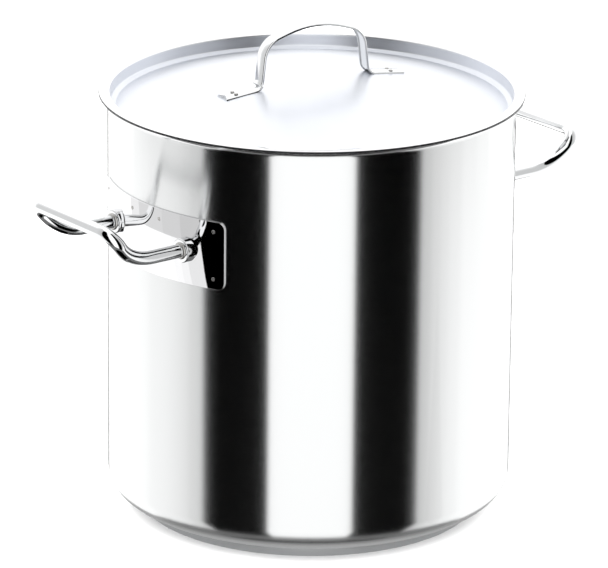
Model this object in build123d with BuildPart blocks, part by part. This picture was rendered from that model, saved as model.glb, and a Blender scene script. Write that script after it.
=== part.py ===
"""Stock pot with two welded tube handles and a recessed lid with a strap handle.

The pot stands on the XY plane with its axis on Z, and the side handles lie on the X axis.
All lengths are in millimetres.
"""
from build123d import *
from math import cos, radians, sin, sqrt
import os

# ---------------------------------------------------------------- driving dimensions
pot_radius = 180.0           # outside of the drawn wall
pot_height = 380.0           # hob to the top of the lip
wall = 1.0                   # drawn sheet
corner_radius = 22.0         # outside radius between the wall and the floor
flare_radius = 7.5           # inside radius of the flared lip
lip_radius = 188.0           # outside of the lip

base_radius = 152.0          # outside of the capsule base
base_height = 11.0            # hob to the underside of the drawn floor
cap_sheet = 0.6              # steel sheet around the aluminium disc

lid_sheet = 0.8
lid_radius = 187.5           # outside of the lid's flange
lid_wall_radius = 177.2      # inside face of the lid's locating wall
lid_wall_depth = 11.2         # flange top to the foot of the locating wall
lid_disc_radius = 172.3      # where the domed disc begins
lid_disc_depth = 13.6        # flange top to the edge of the domed disc
lid_dome_rise = 23.6         # edge of the disc to its centre

plate_sheet = 1.5
plate_height = 61.0
plate_half_angle = 28.4      # degrees, half of the arc that the plate covers
plate_corner = 7.0
plate_centre_z = pot_height - 101.0

tube_radius = 6.0
tube_wall = 1.2
leg_spacing = 100.0           # between the two legs of one handle
leg_z = pot_height - 100.5
bend_reach = 233.0           # pot axis to the bend at the end of a leg
grip_reach = 258.0           # pot axis to the centre of the grip
grip_half_width = 59.5
grip_rise = 30.0             # legs to grip
leg_bend_radius = 48.0
grip_bend_radius = 12.8

collar_radius = 10.8
collar_length = 5.5          # from the plate at the leg's axis to the collar's outer face
collar_round = 1.3
bead_radius = 1.6

spot_radius = 1.8
spot_height = 0.35
spot_end_angle = 25.0        # degrees from the handle's axis to the outer spot welds
spot_mid_angle = 6.2         # degrees to the inner ones
spot_z_offset = 21.3

lid_handle_turn = -8.0      # degrees, the lid's handle from the side handles' axis
strap_sheet = 2.0
strap_width = 14.0
strap_edge_sheet = 1.4       # turned-down edges of the strap
strap_edge_depth = 3.0
strap_edge_start = 4.0       # above the seat, where the turned edges run out
strap_foot_reach = 90.0      # pot axis to the tips of a foot
strap_foot_width = 17.0
strap_foot_notch = 3.5
strap_leg_reach = 53.7       # inner face of a leg at its foot
strap_shoulder_reach = 49.0
strap_shoulder_height = 38.0
strap_crown_height = 54.0    # where the two sides of the arch would meet
strap_foot_radius = 10.0
strap_shoulder_radius = 20.0
strap_crown_radius = 90.0
strap_spot_reach = 78.0
strap_spot_spacing = 7.0

plate_outer = pot_radius + plate_sheet
leg_y = leg_spacing / 2
leg_root_x = sqrt(plate_outer**2 - leg_y**2)
lid_top_z = pot_height + lid_sheet
strap_seat_z = lid_top_z - lid_disc_depth + lid_dome_rise
dome_radius = (lid_disc_radius**2 + lid_dome_rise**2) / (2 * lid_dome_rise)

os.makedirs("parts", exist_ok=True)


def save(builder, name):
    """Label one finished piece and write it under its own name."""
    builder.part.label = name
    export_step(builder.part, f"parts/{name}.step")


# ---------------------------------------------------------------- pot
with BuildPart() as pot_body:
    floor_z = base_height + wall
    inside = pot_radius - wall
    with BuildSketch(Plane.XZ):
        with BuildLine():
            FilletPolyline(
                (0, floor_z),
                (inside, floor_z),
                (inside, pot_height),
                (lip_radius, pot_height),
                radius=[corner_radius - wall, flare_radius],
            )
            offset(amount=wall, side=Side.RIGHT)
        make_face()
    revolve(axis=Axis.Z)
save(pot_body, "pot_body")

with BuildPart() as base_heat_disc:
    with BuildSketch(Plane.XY.offset(cap_sheet)):
        Circle(base_radius - cap_sheet)
    extrude(amount=base_height - cap_sheet)
save(base_heat_disc, "base_heat_disc")

with BuildPart() as base_cap:
    with BuildSketch():
        Circle(base_radius)
    extrude(amount=base_height)
    with BuildSketch(Plane.XY.offset(cap_sheet)):
        Circle(base_radius - cap_sheet)
    extrude(amount=base_height, mode=Mode.SUBTRACT)
    fillet(base_cap.edges().group_by(Axis.Z)[0], radius=0.5)
save(base_cap, "base_cap")

# ---------------------------------------------------------------- side handles
for side, side_name in ((-1, "left"), (1, "right")):
    with BuildPart() as handle_plate:
        with BuildSketch(Plane.XY.offset(plate_centre_z - plate_height)):
            Circle(plate_outer)
            Circle(pot_radius, mode=Mode.SUBTRACT)
        extrude(amount=2 * plate_height)
        with BuildSketch(Plane(origin=(0, 0, plate_centre_z), x_dir=(0, 1, 0), z_dir=(side, 0, 0))):
            RectangleRounded(2 * plate_outer * sin(radians(plate_half_angle)), plate_height, plate_corner)
        extrude(amount=2 * pot_radius, mode=Mode.INTERSECT)
    save(handle_plate, f"handle_plate_{side_name}")

    with BuildPart() as handle_tube:
        with BuildLine() as route:
            FilletPolyline(
                (side * (leg_root_x - tube_radius), -leg_y, leg_z),
                (side * bend_reach, -leg_y, leg_z),
                (side * grip_reach, -grip_half_width, leg_z + grip_rise),
                (side * grip_reach, grip_half_width, leg_z + grip_rise),
                (side * bend_reach, leg_y, leg_z),
                (side * (leg_root_x - tube_radius), leg_y, leg_z),
                radius=[leg_bend_radius, grip_bend_radius, grip_bend_radius, leg_bend_radius],
            )
        with BuildSketch(Plane(origin=route.line @ 0, z_dir=route.line % 0)):
            Circle(tube_radius)
            Circle(tube_radius - tube_wall, mode=Mode.SUBTRACT)
        sweep()
        with BuildSketch(Plane.XY):
            Circle(plate_outer)
        extrude(amount=pot_height, mode=Mode.SUBTRACT)
    save(handle_tube, f"handle_tube_{side_name}")

    for leg_side, leg_name in ((-1, "front"), (1, "rear")):
        leg_plane = Plane(origin=(side * leg_root_x, leg_side * leg_y, leg_z), z_dir=(side, 0, 0))
        with BuildPart() as handle_collar:
            with BuildSketch(leg_plane.offset(-collar_length)):
                Circle(collar_radius)
            extrude(amount=2 * collar_length)
            fillet(handle_collar.faces().sort_by(Axis.X)[min(side, 0)].edges(), radius=collar_round)
            with BuildSketch(leg_plane.offset(-collar_length)):
                Circle(tube_radius)
            extrude(amount=2 * collar_length, mode=Mode.SUBTRACT)
            with BuildSketch(Plane.XY):
                Circle(plate_outer)
            extrude(amount=pot_height, mode=Mode.SUBTRACT)
        save(handle_collar, f"handle_collar_{side_name}_{leg_name}")

        with BuildPart() as handle_weld:
            bead_plane = Plane(
                origin=(side * (leg_root_x + collar_length), leg_side * leg_y, leg_z),
                x_dir=(0, 1, 0),
                z_dir=(0, 0, 1),
            )
            with BuildSketch(bead_plane):
                with Locations((tube_radius, 0)):
                    Circle(bead_radius)
                Rectangle(2 * tube_radius, 4 * bead_radius, mode=Mode.SUBTRACT)
                with Locations((tube_radius, side * 2 * bead_radius)):
                    Rectangle(4 * bead_radius, 4 * bead_radius, mode=Mode.SUBTRACT)
            revolve(axis=Axis(bead_plane.origin, (1, 0, 0)))
        save(handle_weld, f"handle_weld_{side_name}_{leg_name}")

    with BuildPart() as spot_welds:
        turn_to_side = 0 if side > 0 else 180
        spots = [
            (angle, height)
            for angle in (-spot_end_angle, spot_end_angle)
            for height in (-spot_z_offset, spot_z_offset)
        ]
        spots += [(angle, spot_z_offset) for angle in (-spot_mid_angle, spot_mid_angle)]
        for angle, height in spots:
            outward = Vector(cos(radians(turn_to_side + angle)), sin(radians(turn_to_side + angle)), 0)
            spot_centre = outward * (plate_outer - spot_height) + Vector(0, 0, plate_centre_z + height)
            with BuildSketch(Plane(origin=spot_centre, z_dir=outward)):
                Circle(spot_radius)
            extrude(amount=2 * spot_height, taper=30)
        with BuildSketch(Plane.XY):
            Circle(plate_outer)
        extrude(amount=pot_height, mode=Mode.SUBTRACT)
    save(spot_welds, f"spot_welds_{side_name}")

# ---------------------------------------------------------------- lid
with BuildPart() as lid_shell:
    with BuildSketch(Plane.XZ):
        with BuildLine():
            FilletPolyline(
                (lid_radius, lid_top_z),
                (lid_wall_radius, lid_top_z),
                (lid_wall_radius - 0.3, lid_top_z - lid_wall_depth),
                (lid_disc_radius, lid_top_z - lid_disc_depth),
                radius=[2.3, 1.8],
            )
            dome_half = lid_disc_radius / 2
            ThreePointArc(
                (lid_disc_radius, lid_top_z - lid_disc_depth),
                (dome_half, strap_seat_z - dome_radius + sqrt(dome_radius**2 - dome_half**2)),
                (0, strap_seat_z),
            )
            offset(amount=lid_sheet, side=Side.LEFT)
        make_face()
    revolve(axis=Axis.Z)
save(lid_shell, "lid_shell")

# ---------------------------------------------------------------- lid handle
handle_along = Vector(cos(radians(lid_handle_turn)), sin(radians(lid_handle_turn)), 0)
handle_across = Vector(-handle_along.Y, handle_along.X, 0)
strap_side = Plane(origin=(0, 0, strap_seat_z), x_dir=handle_along, z_dir=-handle_across)
strap_top = Plane(origin=(0, 0, strap_seat_z), x_dir=handle_along, z_dir=(0, 0, 1))
foot_drop = dome_radius - sqrt(dome_radius**2 - strap_foot_reach**2)
leg_drop = dome_radius - sqrt(dome_radius**2 - strap_leg_reach**2)
arch_radii = [strap_shoulder_radius, strap_crown_radius, strap_shoulder_radius]


def arch_points(start_reach, start_height):
    """Corners of the arch from one leg over the crown to the other leg."""
    half = [(start_reach, start_height), (strap_shoulder_reach, strap_shoulder_height)]
    return half + [(0, strap_crown_height)] + [(-reach, height) for reach, height in reversed(half)]


with BuildPart() as lid_handle:
    with BuildSketch(strap_side):
        with BuildLine():
            FilletPolyline(
                (strap_foot_reach, -foot_drop),
                *arch_points(strap_leg_reach, -leg_drop),
                (-strap_foot_reach, -foot_drop),
                radius=[strap_foot_radius] + arch_radii + [strap_foot_radius],
            )
            offset(amount=strap_sheet, side=Side.RIGHT)
        make_face()
    extrude(amount=strap_foot_width / 2, both=True)
    with BuildSketch(strap_top.offset(-foot_drop)):
        Rectangle(2 * strap_foot_reach, strap_width)
        for end in (-1, 1):
            Polygon(
                (end * strap_leg_reach, strap_width / 2),
                (end * strap_foot_reach, strap_foot_width / 2),
                (end * (strap_foot_reach - strap_foot_notch), 0),
                (end * strap_foot_reach, -strap_foot_width / 2),
                (end * strap_leg_reach, -strap_width / 2),
                align=None,
            )
            Polygon(
                (end * (strap_foot_reach - strap_foot_notch), 0),
                (end * strap_foot_reach, strap_foot_width / 2),
                (end * strap_foot_reach, -strap_foot_width / 2),
                align=None,
                mode=Mode.SUBTRACT,
            )
    extrude(amount=2 * strap_crown_height, mode=Mode.INTERSECT)
    edge_reach = strap_leg_reach + (strap_shoulder_reach - strap_leg_reach) * (
        (strap_edge_start + leg_drop) / (strap_shoulder_height + leg_drop)
    )
    for edge in (-1, 1):
        with BuildSketch(strap_side.offset(edge * (strap_width - strap_edge_sheet) / 2)):
            with BuildLine():
                FilletPolyline(*arch_points(edge_reach, strap_edge_start), radius=arch_radii)
                offset(amount=strap_edge_depth - strap_sheet, side=Side.LEFT)
            make_face()
        extrude(amount=strap_edge_sheet / 2, both=True)
    with Locations((0, 0, strap_seat_z - dome_radius)):
        Sphere(dome_radius, mode=Mode.SUBTRACT)
save(lid_handle, "lid_handle")

for end, end_name in ((-1, "left"), (1, "right")):
    with BuildPart() as foot_welds:
        with BuildSketch(strap_top.offset(-foot_drop)):
            for across in (-1, 1):
                with Locations((end * strap_spot_reach, across * strap_spot_spacing / 2)):
                    Circle(spot_radius)
        extrude(amount=foot_drop - strap_spot_reach**2 / (2 * dome_radius) + strap_sheet + spot_height)
        add(lid_handle.part, mode=Mode.SUBTRACT)
        with Locations((0, 0, strap_seat_z - dome_radius)):
            Sphere(dome_radius, mode=Mode.SUBTRACT)
    save(foot_welds, f"lid_handle_welds_{end_name}")
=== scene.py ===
from math import acos, asin, ceil, cos, pi, radians, sin, sqrt, tan

import bpy
from mathutils import Matrix, Vector


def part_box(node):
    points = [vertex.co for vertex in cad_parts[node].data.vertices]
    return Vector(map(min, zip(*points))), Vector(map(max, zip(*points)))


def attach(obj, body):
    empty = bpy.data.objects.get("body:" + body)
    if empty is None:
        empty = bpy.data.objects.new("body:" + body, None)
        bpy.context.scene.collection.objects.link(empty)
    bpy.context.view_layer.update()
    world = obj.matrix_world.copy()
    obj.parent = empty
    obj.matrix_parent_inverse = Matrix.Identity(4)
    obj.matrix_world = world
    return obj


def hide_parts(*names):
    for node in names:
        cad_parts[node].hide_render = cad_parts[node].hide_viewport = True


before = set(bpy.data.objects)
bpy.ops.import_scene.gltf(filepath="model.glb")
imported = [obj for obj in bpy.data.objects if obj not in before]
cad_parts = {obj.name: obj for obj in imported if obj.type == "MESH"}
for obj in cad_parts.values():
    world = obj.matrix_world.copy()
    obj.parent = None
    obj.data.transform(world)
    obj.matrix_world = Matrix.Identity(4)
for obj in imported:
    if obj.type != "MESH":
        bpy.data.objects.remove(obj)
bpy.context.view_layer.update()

MM = 0.001
smooth_limit = radians(35)      # faces that meet at less than this look like one curve
round_steps = 256               # steps of the large turned pieces
edge_flat = 0.02 * MM           # half of what stays flat in a rounded sheet edge
painted_shadow_band = 0.3 * MM            # outer edge of the lip painted dark: painted shadow of the gap under the lid's flange

# ---------------------------------------------------------------- sizes, in metres
lip_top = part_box("pot_body")[1].z
lip_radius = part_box("pot_body")[1].x
floor_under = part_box("pot_body")[0].z
base_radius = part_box("base_cap")[1].x
dome_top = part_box("lid_shell")[1].z
lid_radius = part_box("lid_shell")[1].x

# The shell and its base
wall = 1.0 * MM
pot_radius = 180 * MM
corner_radius = 22 * MM
flare_radius = 7.5 * MM
base_ring_pitch = 24 * MM
base_ring_depth = 0.25 * MM
base_ring_half_width = 0.8 * MM
base_sheet = 0.6 * MM
base_edge_radius = 1.2 * MM

# The lid
lid_sheet = 0.8 * MM
lid_top = lip_top + lid_sheet
lid_wall_radius = 177.2 * MM
lid_wall_depth = 11.2 * MM
lid_disc_radius = 172.3 * MM
lid_disc_depth = 13.6 * MM
dome_rise = dome_top - lid_top + lid_disc_depth
dome_radius = (lid_disc_radius**2 + dome_rise**2) / (2 * dome_rise)
lid_wall_lean = 0.3 * MM        # how far the wall's foot stands in from its top
dome_rings = 12

# The side handles: plate, tube, collars, beads and spot welds
plate_low, plate_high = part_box("handle_plate_right")
plate_radius = plate_high.x
plate_sheet = plate_radius - pot_radius
plate_half_angle = asin(plate_high.y / plate_radius)
plate_corner = 7 * MM
plate_strip = 4 * MM            # width of the flat strips that follow the wall
plate_edge_radius = 0.4 * MM
tube_radius = 6 * MM
leg_y = 50 * MM
leg_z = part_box("handle_tube_right")[0].z + tube_radius
grip_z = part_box("handle_tube_right")[1].z - tube_radius
grip_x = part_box("handle_tube_right")[1].x - tube_radius
grip_y = 59.5 * MM
bend_x = 233 * MM
leg_bend_radius = 48 * MM
grip_bend_radius = 12.8 * MM
leg_root_x = sqrt(plate_radius**2 - leg_y**2)
leg_sink = 1.0 * MM
collar_radius = 10.8 * MM
collar_half_length = 5.5 * MM
bead_size = 1.6 * MM
bead_sink = 0.3 * MM
ring_steps = 64
spot_end_angle = radians(25.0)
spot_mid_angle = radians(6.2)
spot_rise = 21.3 * MM

# The lid's handle
strap_turn = radians(-8)
strap_sheet = 2.0 * MM
strap_width = 14.0 * MM
strap_edge_sheet = 1.4 * MM
strap_edge_depth = 3.0 * MM
strap_foot_reach = 90.0 * MM
strap_foot_width = 17.0 * MM
strap_foot_notch = 3.5 * MM
strap_leg_reach = 53.7 * MM
strap_shoulder = (49.0 * MM, 38.0 * MM)
strap_crown_height = 54.0 * MM
strap_bend_radii = (10 * MM, 20 * MM, 90 * MM, 20 * MM, 10 * MM)
strap_seat_gap = 0.25 * MM
strap_foot_cuts = (60, 64, 68, 72, 76, 80, 84, 87)


# ---------------------------------------------------------------- modelling helpers
def rounded(points, radii, arc_step=radians(9)):
    """A line through points in which each inner corner is an arc of its own radius."""
    line = [Vector(points[0])]
    corners = zip(points, points[1:], points[2:], radii)
    for before, corner, after, radius in corners:
        corner = Vector(corner)
        come = (corner - Vector(before)).normalized()
        go = (Vector(after) - corner).normalized()
        turn = acos(max(-1.0, min(1.0, come.dot(go))))
        reach = radius * tan(turn / 2)
        start = corner - come * reach
        inward = (go - come * come.dot(go)).normalized()
        steps = max(2, ceil(turn / arc_step))
        for step in range(steps + 1):
            angle = turn * step / steps
            line.append(start + come * radius * sin(angle) + inward * radius * (1 - cos(angle)))
    line.append(Vector(points[-1]))
    return line


def one_vertex(name, place):
    """A new mesh object in edit mode, with a single selected vertex at place."""
    bpy.ops.object.select_all(action="DESELECT")
    bpy.ops.mesh.primitive_plane_add(size=MM, location=place)
    piece = bpy.context.object
    piece.name = name
    bpy.ops.object.mode_set(mode="EDIT")
    bpy.ops.mesh.merge(type="CENTER")
    return piece


def close_up(piece):
    """Leave edit mode with doubles merged, faces turned outwards and the place in the mesh."""
    bpy.ops.mesh.select_all(action="SELECT")
    bpy.ops.mesh.remove_doubles(threshold=0.002 * MM)
    bpy.ops.mesh.normals_make_consistent(inside=False)
    bpy.ops.object.mode_set(mode="OBJECT")
    bpy.ops.object.transform_apply(location=True, rotation=True, scale=True)
    bpy.ops.object.shade_smooth_by_angle(angle=smooth_limit)
    return piece


def lathe(name, outline, steps):
    """A turned piece: an outline of (radius, height) points spun about Z."""
    first = outline[0]
    piece = one_vertex(name, (first[0], 0, first[1]))
    for before, point in zip(outline, outline[1:]):
        step = (point[0] - before[0], 0, point[1] - before[1])
        bpy.ops.mesh.extrude_vertices_move(TRANSFORM_OT_translate={"value": step})
    bpy.ops.mesh.select_all(action="SELECT")
    bpy.ops.mesh.spin(steps=steps, angle=2 * pi, center=(0, 0, 0), axis=(0, 0, 1))
    return close_up(piece)


def carry_along(corners, radii, arc_step):
    """In edit mode, carry what is selected along straight runs and tangent bends."""
    here = corners[0]
    for before, corner, after, radius in zip(corners, corners[1:], corners[2:], radii):
        come = (corner - before).normalized()
        go = (after - corner).normalized()
        turn = come.angle(go)
        reach = radius * tan(turn / 2)
        start = corner - come * reach
        axis = come.cross(go).normalized()
        bpy.ops.mesh.extrude_region_move(TRANSFORM_OT_translate={"value": start - here})
        bpy.ops.mesh.spin(
            steps=ceil(turn / arc_step),
            angle=-turn,
            center=start + axis.cross(come) * radius,
            axis=axis,
        )
        here = corner + go * reach
    bpy.ops.mesh.extrude_region_move(TRANSFORM_OT_translate={"value": corners[-1] - here})


def copy_to(piece, name, place):
    """A copy of piece with its own mesh, set at the matrix place."""
    bpy.ops.object.select_all(action="DESELECT")
    piece.select_set(True)
    bpy.context.view_layer.objects.active = piece
    bpy.ops.object.duplicate()
    twin = bpy.context.object
    twin.name = name
    twin.matrix_world = place
    bpy.ops.object.transform_apply(location=True, rotation=True, scale=True)
    return twin


def join(name, pieces):
    """Several pieces as one object."""
    bpy.ops.object.select_all(action="DESELECT")
    for piece in pieces:
        piece.select_set(True)
    bpy.context.view_layer.objects.active = pieces[0]
    bpy.ops.object.join()
    joined = bpy.context.object
    joined.name = name
    return joined


def finish_piece(piece, body, node, slot, *materials):
    """Give a piece its materials, and let it stand for a node of the frame."""
    piece.data.materials.clear()
    for material in materials:
        piece.data.materials.append(material)
    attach(piece, body)
    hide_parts(node)


def apply_modifier(piece, kind, **settings):
    """Add one modifier with its settings and apply it."""
    modifier = piece.modifiers.new(kind.title(), kind)
    for key, value in settings.items():
        setattr(modifier, key, value)
    bpy.ops.object.select_all(action="DESELECT")
    piece.select_set(True)
    bpy.context.view_layer.objects.active = piece
    bpy.ops.object.modifier_apply(modifier=modifier.name)


# ---------------------------------------------------------------- materials
def linear(hex_colour, alpha=1.0):
    """An sRGB hex colour as linear red, green, blue and alpha."""
    channels = [int(hex_colour[i:i + 2], 16) / 255 for i in (1, 3, 5)]
    return [c / 12.92 if c <= 0.04045 else ((c + 0.055) / 1.055) ** 2.4 for c in channels] + [alpha]


def add_node(tree, kind, settings=(), links=()):
    """A node with attributes or socket values set, and sockets linked from other nodes' outputs."""
    node = tree.nodes.new(kind)
    for key, value in dict(settings).items():
        if isinstance(key, str) and hasattr(node, key):
            setattr(node, key, value)
        else:
            node.inputs[key].default_value = value
    for key, output in dict(links).items():
        tree.links.new(output, node.inputs[key])
    return node


def metal(name, colour, roughness, anisotropic=0.0):
    """A bare metal material; returns it with its tree and its shader."""
    material = bpy.data.materials.new(name)
    material.use_nodes = True
    tree = material.node_tree
    shader = tree.nodes["Principled BSDF"]
    shader.inputs["Base Color"].default_value = linear(colour)
    shader.inputs["Metallic"].default_value = 1.0
    shader.inputs["Roughness"].default_value = roughness
    shader.inputs["Anisotropic"].default_value = anisotropic
    return material, tree, shader


def brushed_round_steel(name, colour, roughness, line_mm, depth_mm):
    """Stainless sheet brushed round the axis: fine level lines that smear reflections up and down."""
    material, tree, shader = metal(name, colour, roughness, anisotropic=0.92)
    shader.inputs["Anisotropic Rotation"].default_value = 0.25
    tangent = add_node(tree, "ShaderNodeTangent", {"direction_type": "RADIAL", "axis": "Z"})
    tree.links.new(tangent.outputs["Tangent"], shader.inputs["Tangent"])
    place = add_node(tree, "ShaderNodeTexCoord")
    line_length = 70 * MM
    along = 1 / line_length
    across = 1 / (line_mm * MM)
    stretch = add_node(
        tree, "ShaderNodeMapping", {"Scale": (along, along, across)}, {"Vector": place.outputs["Object"]}
    )
    lines = add_node(
        tree,
        "ShaderNodeTexNoise",
        {"Scale": 1.0, "Detail": 3.0, "Roughness": 0.6},
        {"Vector": stretch.outputs["Vector"]},
    )
    bump = add_node(
        tree,
        "ShaderNodeBump",
        {"Strength": 0.5, "Distance": depth_mm * MM},
        {"Height": lines.outputs["Fac"]},
    )
    tree.links.new(bump.outputs["Normal"], shader.inputs["Normal"])
    return material


def satin_steel(name, colour, shade, roughness, grain_mm, depth_mm):
    """Stainless sheet with an even fine-grained satin, a little cloudy from handling."""
    material, tree, shader = metal(name, colour, roughness)
    place = add_node(tree, "ShaderNodeTexCoord")
    grain = add_node(
        tree,
        "ShaderNodeTexNoise",
        {"Scale": 1 / (grain_mm * MM), "Detail": 2.0},
        {"Vector": place.outputs["Object"]},
    )
    cloud_size = 45 * MM
    clouds = add_node(
        tree,
        "ShaderNodeTexNoise",
        {"Scale": 1 / cloud_size, "Detail": 3.0},
        {"Vector": place.outputs["Object"]},
    )
    tone = add_node(
        tree,
        "ShaderNodeMix",
        {"data_type": "RGBA", 6: linear(colour), 7: linear(shade)},
        {0: clouds.outputs["Fac"]},
    )
    tree.links.new(tone.outputs[2], shader.inputs["Base Color"])
    bump = add_node(
        tree, "ShaderNodeBump", {"Strength": 0.5, "Distance": depth_mm * MM}, {"Height": grain.outputs["Fac"]}
    )
    tree.links.new(bump.outputs["Normal"], shader.inputs["Normal"])
    return material


def polished_steel(name, colour, roughness, wave_mm, depth_mm):
    """Polished stainless: a clear reflection that wavers a little where the sheet or tube isn't flat."""
    material, tree, shader = metal(name, colour, roughness)
    place = add_node(tree, "ShaderNodeTexCoord")
    waves = add_node(
        tree,
        "ShaderNodeTexNoise",
        {"Scale": 1 / (wave_mm * MM), "Detail": 0.0},
        {"Vector": place.outputs["Object"]},
    )
    bump = add_node(
        tree, "ShaderNodeBump", {"Strength": 1.0, "Distance": depth_mm * MM}, {"Height": waves.outputs["Fac"]}
    )
    tree.links.new(bump.outputs["Normal"], shader.inputs["Normal"])
    return material


body_steel = brushed_round_steel("brushed_304_stainless_wall", "#dcdddd", 0.19, line_mm=0.9, depth_mm=0.002)
lid_steel = satin_steel("satin_304_stainless_lid", "#e3e5ea", "#d9dce2", 0.34, grain_mm=0.9, depth_mm=0.01)
rim_steel = polished_steel("polished_304_stainless_rim", "#e6e6e7", 0.12, wave_mm=40, depth_mm=0.01)
# Dark steel tone for the outer edges of the lip and the lid: painted shadow of the gap between them.
painted_shadow_seam_steel = satin_steel("painted_shadow_gap_seam", "#2b2c2d", "#242526", 0.4, grain_mm=0.9, depth_mm=0.01)
plate_steel = polished_steel("mirror_304_stainless_plate", "#e8e8e9", 0.03, wave_mm=24, depth_mm=0.09)
tube_steel = polished_steel("polished_304_stainless_tube", "#e2e3e4", 0.07, wave_mm=14, depth_mm=0.02)
strap_steel = polished_steel("buffed_304_stainless_strap", "#dfe0e1", 0.13, wave_mm=12, depth_mm=0.02)
weld_steel = satin_steel("dressed_stainless_weld", "#c9c8c6", "#a9a7a3", 0.3, grain_mm=0.8, depth_mm=0.05)
base_steel = satin_steel("turned_430_stainless_base", "#cfd0d1", "#bfc1c3", 0.32, grain_mm=0.7, depth_mm=0.02)
disc_aluminium = satin_steel("rolled_aluminium_disc", "#d8d8da", "#c8c8cb", 0.4, grain_mm=1.2, depth_mm=0.02)


# ---------------------------------------------------------------- pot
def make_pot_shell():
    """The drawn shell: floor, wall and flared lip in one sheet with a rounded edge."""
    inside = pot_radius - wall
    floor_top = floor_under + wall
    edge = wall / 2 - edge_flat
    outline = [(0, floor_top), (inside, floor_top), (inside, lip_top), (lip_radius, lip_top)]
    outline += [(lip_radius, lip_top - wall), (pot_radius, lip_top - wall)]
    outline += [(pot_radius, floor_under), (0, floor_under)]
    radii = [corner_radius - wall, flare_radius, edge, edge, flare_radius - wall, corner_radius]
    line = rounded(outline, radii)
    return lathe("pot_shell", [tuple(p) for p in line], round_steps)


pot_shell = make_pot_shell()
finish_piece(pot_shell, "pot", "pot_body", "satin_body_steel", body_steel, rim_steel, painted_shadow_seam_steel)
# Faces at the lip's outer edge take the dark material, a painted shadow of the gap under the lid's flange;
# the flare takes the polished rim.
for face in pot_shell.data.polygons:
    reach = Vector(face.center[:2]).length
    if reach > lip_radius - painted_shadow_band:
        face.material_index = 2
    elif reach > pot_radius + 0.2 * MM:
        face.material_index = 1

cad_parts["base_heat_disc"].data.materials.clear()
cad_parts["base_heat_disc"].data.materials.append(disc_aluminium)


def make_base_shell():
    """The steel capsule: a flat foot with a rounded edge, turned rings and a raised side."""
    outline = [(0, 0.1 * MM)]
    radius = base_ring_pitch
    while radius < base_radius - base_ring_pitch / 2:
        outline += [
            (radius - base_ring_half_width, 0.0),
            (radius, base_ring_depth),
            (radius + base_ring_half_width, 0.0),
        ]
        radius += base_ring_pitch
    foot = [(base_radius - 4 * MM, 0), (base_radius, 0), (base_radius, floor_under)]
    outline += [tuple(p) for p in rounded(foot, [base_edge_radius])]
    inside = base_radius - base_sheet
    outline += [(inside, floor_under), (inside, base_sheet), (0, base_sheet)]
    return lathe("base_capsule", outline, 192)


finish_piece(make_base_shell(), "pot", "base_cap", "base_steel", base_steel)


# ---------------------------------------------------------------- lid
def make_lid_shell():
    """The pressed lid: flat brim, locating wall, gutter and a domed disc."""
    def dome(radius, down=0.0):
        return dome_top - dome_radius + sqrt((dome_radius - down) ** 2 - radius**2)

    foot_radius = lid_wall_radius - lid_wall_lean
    foot_z = lid_top - lid_wall_depth
    disc_z = lid_top - lid_disc_depth
    reaches = [lid_disc_radius * ring / dome_rings for ring in range(dome_rings)]
    top = [(reach, dome(reach)) for reach in reaches]
    under = [(reach, dome(reach, lid_sheet)) for reach in reaches]
    brim = [
        top[-1],
        (lid_disc_radius, disc_z),
        (foot_radius, foot_z),
        (lid_wall_radius, lid_top),
        (lid_radius, lid_top),
        (lid_radius, lid_top - lid_sheet),
        (lid_wall_radius + lid_sheet, lid_top - lid_sheet),
        (foot_radius + lid_sheet, foot_z - 0.55 * lid_sheet),
        (lid_disc_radius + 0.1 * MM, disc_z - lid_sheet),
        under[-1],
    ]
    edge = lid_sheet / 2 - edge_flat
    radii = [1.5 * MM, 1.8 * MM, 2.3 * MM, edge, edge, 1.5 * MM, 2.4 * MM, 1.5 * MM]
    outline = top[:-1] + [tuple(p) for p in rounded(brim, radii)] + under[-2::-1]
    return lathe("lid_pressing", outline, round_steps)


lid = make_lid_shell()
finish_piece(lid, "lid", "lid_shell", "satin_lid_steel", lid_steel, rim_steel, painted_shadow_seam_steel)
# The lid's outer edge takes the dark material, a painted shadow of the gap over the pot's lip; the brim takes
# the polished rim.
for face in lid.data.polygons:
    reach = Vector(face.center[:2]).length
    if reach > lid_radius - 0.2 * MM:
        face.material_index = 2
    elif reach > lid_wall_radius + 0.5 * MM:
        face.material_index = 1


# ---------------------------------------------------------------- side handles
def make_plate():
    """The handle's plate: rounded rectangle of sheet, rolled to the wall, on the right side."""
    half_width = plate_radius * plate_half_angle
    half_height = (plate_high.z - plate_low.z) / 2
    centre_z = (plate_high.z + plate_low.z) / 2
    bpy.ops.object.select_all(action="DESELECT")
    bpy.ops.mesh.primitive_plane_add(size=2, location=(0, 0, 0))
    piece = bpy.context.object
    piece.name = "handle_plate_blank"
    piece.scale = (half_width, half_height, 1)
    bpy.ops.object.transform_apply(location=True, rotation=True, scale=True)
    bpy.ops.object.mode_set(mode="EDIT")
    bpy.ops.mesh.select_all(action="SELECT")
    bpy.ops.mesh.bevel(offset=plate_corner, segments=8, affect="VERTICES")
    cuts = int(half_width / plate_strip)
    for cut in range(-cuts, cuts + 1):
        bpy.ops.mesh.select_all(action="SELECT")
        bpy.ops.mesh.bisect(plane_co=(cut * plate_strip, 0, 0), plane_no=(1, 0, 0))
    bpy.ops.object.mode_set(mode="OBJECT")
    for vertex in piece.data.vertices:
        angle = vertex.co.x / plate_radius
        height = vertex.co.y
        vertex.co = (plate_radius * cos(angle), plate_radius * sin(angle), centre_z + height)
    bpy.ops.object.mode_set(mode="EDIT")
    close_up(piece)
    apply_modifier(piece, "SOLIDIFY", thickness=plate_sheet, offset=-1)
    apply_modifier(
        piece,
        "BEVEL",
        width=plate_edge_radius,
        segments=3,
        limit_method="ANGLE",
        angle_limit=radians(50),
    )
    bpy.ops.object.shade_smooth_by_angle(angle=smooth_limit)
    return piece


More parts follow.
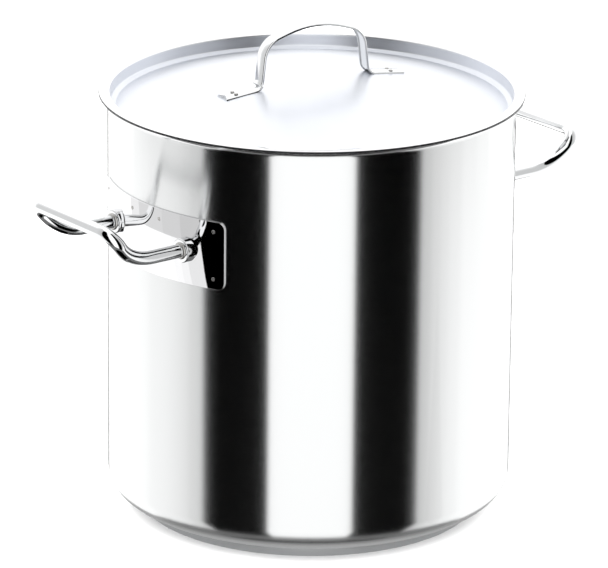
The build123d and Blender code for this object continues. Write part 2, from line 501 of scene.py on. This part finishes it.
def make_tube():
    """The handle's tube on the right side: two legs, two bends up, and a level grip."""
    corners = [
        Vector((leg_root_x - leg_sink, -leg_y, leg_z)),
        Vector((bend_x, -leg_y, leg_z)),
        Vector((grip_x, -grip_y, grip_z)),
        Vector((grip_x, grip_y, grip_z)),
        Vector((bend_x, leg_y, leg_z)),
        Vector((leg_root_x - leg_sink, leg_y, leg_z)),
    ]
    bpy.ops.object.select_all(action="DESELECT")
    bpy.ops.mesh.primitive_circle_add(
        vertices=40, radius=tube_radius, fill_type="NGON", location=corners[0], rotation=(0, pi / 2, 0)
    )
    piece = bpy.context.object
    piece.name = "handle_tube_blank"
    bpy.ops.object.transform_apply(location=True, rotation=True, scale=True)
    bpy.ops.object.mode_set(mode="EDIT")
    bpy.ops.mesh.select_all(action="SELECT")
    carry_along(corners, [leg_bend_radius, grip_bend_radius, grip_bend_radius, leg_bend_radius], radians(5))
    return close_up(piece)


def make_collar():
    """The ring round a leg where it meets the plate, with a rounded outer edge; its axis is Z."""
    root, face = -collar_half_length, collar_half_length
    outline = rounded(
        [(tube_radius, root), (tube_radius, face), (collar_radius, face), (collar_radius, root)],
        [0.5 * MM, 1.4 * MM],
    )
    return lathe("collar_blank", [tuple(p) for p in outline] + [(tube_radius, root)], ring_steps)


def make_bead():
    """The weld bead round the tube on the collar's face."""
    inside = tube_radius - 0.2 * MM
    outline = [(inside, -bead_sink), (inside, bead_size)]
    for step in range(6):
        angle = radians(18 * step)
        outline.append((tube_radius + bead_size * sin(angle), bead_size * cos(angle)))
    outline += [(tube_radius + bead_size, -bead_sink), (inside, -bead_sink)]
    return lathe("bead_blank", outline, ring_steps)


def make_spot():
    """The mark of one spot weld: a low round button with a dished middle."""
    outline = [(0, 0.16), (0.7, 0.2), (1.2, 0.34), (1.6, 0.26), (1.8, 0.0), (1.8, -0.4), (0, -0.4)]
    return lathe("spot_blank", [(r * MM, z * MM) for r, z in outline], 24)


plate = make_plate()
tube = make_tube()
collar = make_collar()
bead = make_bead()
spot = make_spot()
collar_face = leg_root_x + collar_half_length
lie_down = Matrix.Rotation(pi / 2, 4, "Y")
plate_z = (plate_high.z + plate_low.z) / 2

for side_name, turn in (("right", 0.0), ("left", pi)):
    side = Matrix.Rotation(turn, 4, "Z")
    finish_piece(
        copy_to(plate, f"{side_name}_plate", side),
        "pot",
        f"handle_plate_{side_name}",
        "mirror_plate_steel",
        plate_steel,
    )
    finish_piece(
        copy_to(tube, f"{side_name}_tube", side),
        "pot",
        f"handle_tube_{side_name}",
        "polished_tube_steel",
        tube_steel,
    )
    for leg_name, way in (("front", -1), ("rear", 1)):
        way_here = way if side_name == "right" else -way
        at_root = Matrix.Translation((leg_root_x, way_here * leg_y, leg_z))
        at_face = Matrix.Translation((collar_face, way_here * leg_y, leg_z))
        finish_piece(
            copy_to(collar, f"{side_name}_{leg_name}_collar", side @ at_root @ lie_down),
            "pot",
            f"handle_collar_{side_name}_{leg_name}",
            "polished_tube_steel",
            tube_steel,
        )
        finish_piece(
            copy_to(bead, f"{side_name}_{leg_name}_bead", side @ at_face @ lie_down),
            "pot",
            f"handle_weld_{side_name}_{leg_name}",
            "weld_steel",
            weld_steel,
        )
    spots = []
    places = [(a, z) for a in (-spot_end_angle, spot_end_angle) for z in (-spot_rise, spot_rise)]
    places += [(a, spot_rise) for a in (-spot_mid_angle, spot_mid_angle)]
    for angle, height in places:
        out = Matrix.Rotation(angle, 4, "Z") @ Matrix.Translation((plate_radius, 0, plate_z + height))
        spots.append(copy_to(spot, "spot", side @ out @ lie_down))
    marks = join(f"{side_name}_spot_welds", spots)
    finish_piece(marks, "pot", f"spot_welds_{side_name}", "weld_steel", weld_steel)

for blank in (plate, tube, collar, bead, spot):
    bpy.data.objects.remove(blank)


# ---------------------------------------------------------------- lid handle
def dome_drop(reach):
    """How far the lid's domed disc falls from its top at a reach from the axis."""
    return dome_radius - sqrt(dome_radius**2 - reach**2)


def make_strap():
    """The lid's handle: a strap with rolled edges arched over the lid, its feet splayed like a fish tail."""
    half = [
        (strap_foot_reach, strap_seat_gap - dome_drop(strap_foot_reach)),
        (strap_leg_reach, strap_seat_gap - dome_drop(strap_leg_reach)),
        strap_shoulder,
    ]
    line = [Vector((reach, 0, rise)) for reach, rise in half]
    line += [Vector((0, 0, strap_crown_height))]
    line += [Vector((-reach, 0, rise)) for reach, rise in reversed(half)]
    ahead = (line[1] - line[0]).normalized()
    upright = Vector((-ahead.z, 0, ahead.x)) * (-1 if ahead.x < 0 else 1)
    side = strap_width / 2
    lip = side - strap_edge_sheet
    below = strap_sheet - strap_edge_depth
    section = [(0, 0), (-lip, 0), (-lip, below), (-side, below), (-side, strap_sheet - 0.9 * MM)]
    section += [(0, strap_sheet + 0.1 * MM)]
    section += [(side, strap_sheet - 0.9 * MM), (side, below), (lip, below), (lip, 0), (0, 0)]
    radii = [0.4, 0.6, 0.6, 1.6, 14, 1.6, 0.6, 0.6, 0.4]
    ring = rounded([(across, rise, 0) for across, rise in section], [r * MM for r in radii], radians(18))
    places = [line[0] + Vector((0, p.x, 0)) + upright * p.y for p in ring[:-1]]
    piece = one_vertex("strap", places[0])
    for before, place in zip(places, places[1:]):
        bpy.ops.mesh.extrude_vertices_move(TRANSFORM_OT_translate={"value": place - before})
    bpy.ops.mesh.select_all(action="SELECT")
    bpy.ops.mesh.edge_face_add()
    carry_along(line, strap_bend_radii, radians(5))
    for reach in strap_foot_cuts:
        for end in (-1, 1):
            bpy.ops.mesh.select_all(action="SELECT")
            bpy.ops.mesh.bisect(plane_co=(end * reach * MM, 0, 0), plane_no=(1, 0, 0))
    bpy.ops.object.mode_set(mode="OBJECT")
    for vertex in piece.data.vertices:
        reach = abs(vertex.co.x)
        out = (reach - strap_leg_reach) / (strap_foot_reach - strap_leg_reach)
        if out > 0 and vertex.co.z < 8 * MM:
            seat = 0.15 * MM - dome_drop(reach)
            vertex.co.z = max(vertex.co.z, seat)
            vertex.co.y *= 1 + (strap_foot_width / strap_width - 1) * min(out, 1) ** 1.5
            if out > 0.97:
                notch = strap_foot_notch * (1 - abs(vertex.co.y) / (strap_foot_width / 2))
                vertex.co.x -= notch * (1 if vertex.co.x > 0 else -1)
    bpy.ops.object.mode_set(mode="EDIT")
    close_up(piece)
    piece.matrix_world = Matrix.Translation((0, 0, dome_top)) @ Matrix.Rotation(strap_turn, 4, "Z")
    bpy.ops.object.transform_apply(location=True, rotation=True, scale=True)
    return piece


finish_piece(make_strap(), "lid", "lid_handle", "polished_strap_steel", strap_steel)
for end in ("left", "right"):
    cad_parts[f"lid_handle_welds_{end}"].data.materials.clear()
    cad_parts[f"lid_handle_welds_{end}"].data.materials.append(weld_steel)


# ---------------------------------------------------------------- stage, light and camera
view_azimuth = radians(-37.8)


def around(angle):
    """The direction that is angle to the right of the camera, seen from the pot's axis."""
    turned = view_azimuth + angle
    return Vector((sin(turned), -cos(turned), 0))


def glow(name, tone):
    """A card or backdrop of one even tone."""
    material = bpy.data.materials.new(name)
    material.use_nodes = True
    tree = material.node_tree
    tree.nodes.clear()
    light = add_node(tree, "ShaderNodeEmission", {"Color": (tone, tone, tone, 1)})
    add_node(tree, "ShaderNodeOutputMaterial", links={"Surface": light.outputs["Emission"]})
    return material


def show_in_reflections(piece, tone):
    """Make a stage piece glow in one tone, and show it only in reflections."""
    piece.data.materials.append(glow(piece.name + "_tone", tone))
    piece.visible_camera = False
    piece.visible_diffuse = False
    piece.visible_shadow = False


def card(name, start, end, low, high, tone, distance=1.6):
    """A tall curved studio card that shows only in reflections; angles are from the camera's side."""
    foot = around(radians(start)) * distance
    piece = one_vertex(name, (foot.x, foot.y, low))
    bpy.ops.mesh.extrude_vertices_move(TRANSFORM_OT_translate={"value": (0, 0, high - low)})
    bpy.ops.mesh.select_all(action="SELECT")
    bpy.ops.mesh.spin(steps=24, angle=radians(start - end), center=(0, 0, 0), axis=(0, 0, 1))
    close_up(piece)
    show_in_reflections(piece, tone)


def fan(name, edges, low, high, tones):
    """A row of cards side by side, each of its own tone, between the angles in edges."""
    for count, tone in enumerate(tones):
        card(f"{name}_{count}", edges[count], edges[count + 1], low, high, tone)


def disc_card(name, radius, height, tone):
    """A level round card that shows only in reflections."""
    bpy.ops.object.select_all(action="DESELECT")
    bpy.ops.mesh.primitive_circle_add(
        vertices=96, radius=radius, fill_type="NGON", location=(0, 0, height)
    )
    piece = bpy.context.object
    piece.name = name
    show_in_reflections(piece, tone)


ground_level = -1.5             # foot of the cards, below the floor that reflections don't see
split_level = -0.1              # the wall sees what is below, and the lid and handles what is above
card_top = 4.0
left_end, right_end = -59.5, 61.5
card("left_flag", left_end, -22, ground_level, card_top, 0.0)
card("right_flag", 24, right_end, ground_level, card_top, 0.0)
fan("left_low", (-100, -85, -79, -74, -69, left_end), ground_level, split_level,
    (1.32, 1.28, 1.22, 1.15, 1.0))
fan("left_high", (-112, -104, -85, -72, left_end), split_level, card_top, (1.05, 0.86, 0.8, 0.72))
fan("right_low", (right_end, 69, 75, 81, 90), ground_level, split_level, (0.9, 1.08, 1.2, 1.3))
fan("right_high", (right_end, 75, 90, 100, 112), split_level, card_top, (0.75, 0.76, 0.88, 1.1))
card("back_card", 160, 200, ground_level, 0.3, 0.05)
disc_card("ground_card", 1.62, ground_level, 0.22)
disc_card("dark_ground_card", 0.8, ground_level + 0.01, 0.0)
# Grey discs at the pot's foot, seen only in reflections: painted floor shadow round the foot, which the
# wall's lower corner and the base reflect as a grey band.
disc_card("painted_floor_shade_card_outer", 0.181, -0.5 * MM, 0.3)
disc_card("painted_floor_shade_card_middle", 0.176, -0.4 * MM, 0.42)
disc_card("painted_floor_shade_card_inner", 0.17, -0.3 * MM, 0.52)

bpy.ops.object.select_all(action="DESELECT")
bpy.ops.mesh.primitive_plane_add(size=14, location=(0, 0, 0))
studio_floor = bpy.context.object
studio_floor.name = "studio_floor"
floor_paint = bpy.data.materials.new("pale_floor_paint")
floor_paint.use_nodes = True
floor_shader = floor_paint.node_tree.nodes["Principled BSDF"]
floor_shader.inputs["Base Color"].default_value = linear("#ffffff")
floor_shader.inputs["Roughness"].default_value = 0.9
studio_floor.data.materials.append(floor_paint)
studio_floor.visible_glossy = False

world = bpy.data.worlds.new("white_dome")
bpy.context.scene.world = world
world.use_nodes = True
world_tree = world.node_tree
world_tree.nodes.clear()
strength_for_metal = 1.42
strength_for_paint = 3.4
strength_for_camera = 1.0
rays = add_node(world_tree, "ShaderNodeLightPath")
on_metal_or_paint = add_node(
    world_tree,
    "ShaderNodeMix",
    {"data_type": "FLOAT", 2: strength_for_metal, 3: strength_for_paint},
    {0: rays.outputs["Is Diffuse Ray"]},
)
strength = add_node(
    world_tree,
    "ShaderNodeMix",
    {"data_type": "FLOAT", 3: strength_for_camera},
    {0: rays.outputs["Is Camera Ray"], 2: on_metal_or_paint.outputs[0]},
)
dome_light = add_node(
    world_tree, "ShaderNodeBackground", {"Color": (1, 1, 1, 1)}, {"Strength": strength.outputs[0]}
)
add_node(world_tree, "ShaderNodeOutputWorld", links={"Surface": dome_light.outputs["Background"]})
bpy.context.scene.view_settings.view_transform = "Standard"

camera_data = bpy.data.cameras.new("camera")
camera = bpy.data.objects.new("camera", camera_data)
bpy.context.scene.collection.objects.link(camera)
camera_distance = 4.479
camera_height = lid_top + 1.3337
camera_pitch = 0.3261
camera_yaw = -0.0012
camera_roll = 0.0096
camera_data.sensor_width = 36
camera_data.lens = 314.93
camera_data.clip_end = 100
towards = -around(0)
right = towards.cross(Vector((0, 0, 1)))
heading = (towards * cos(camera_yaw) + right * sin(camera_yaw)).normalized()
forward = heading * cos(camera_pitch) - Vector((0, 0, 1)) * sin(camera_pitch)
level_right = forward.cross(Vector((0, 0, 1))).normalized()
level_up = level_right.cross(forward)
right = level_right * cos(camera_roll) + level_up * sin(camera_roll)
up = level_up * cos(camera_roll) - level_right * sin(camera_roll)
spot_of_camera = around(0) * camera_distance + Vector((0, 0, camera_height))
camera.matrix_world = Matrix.Translation(spot_of_camera) @ Matrix((right, up, -forward)).transposed().to_4x4()
bpy.context.scene.camera = camera
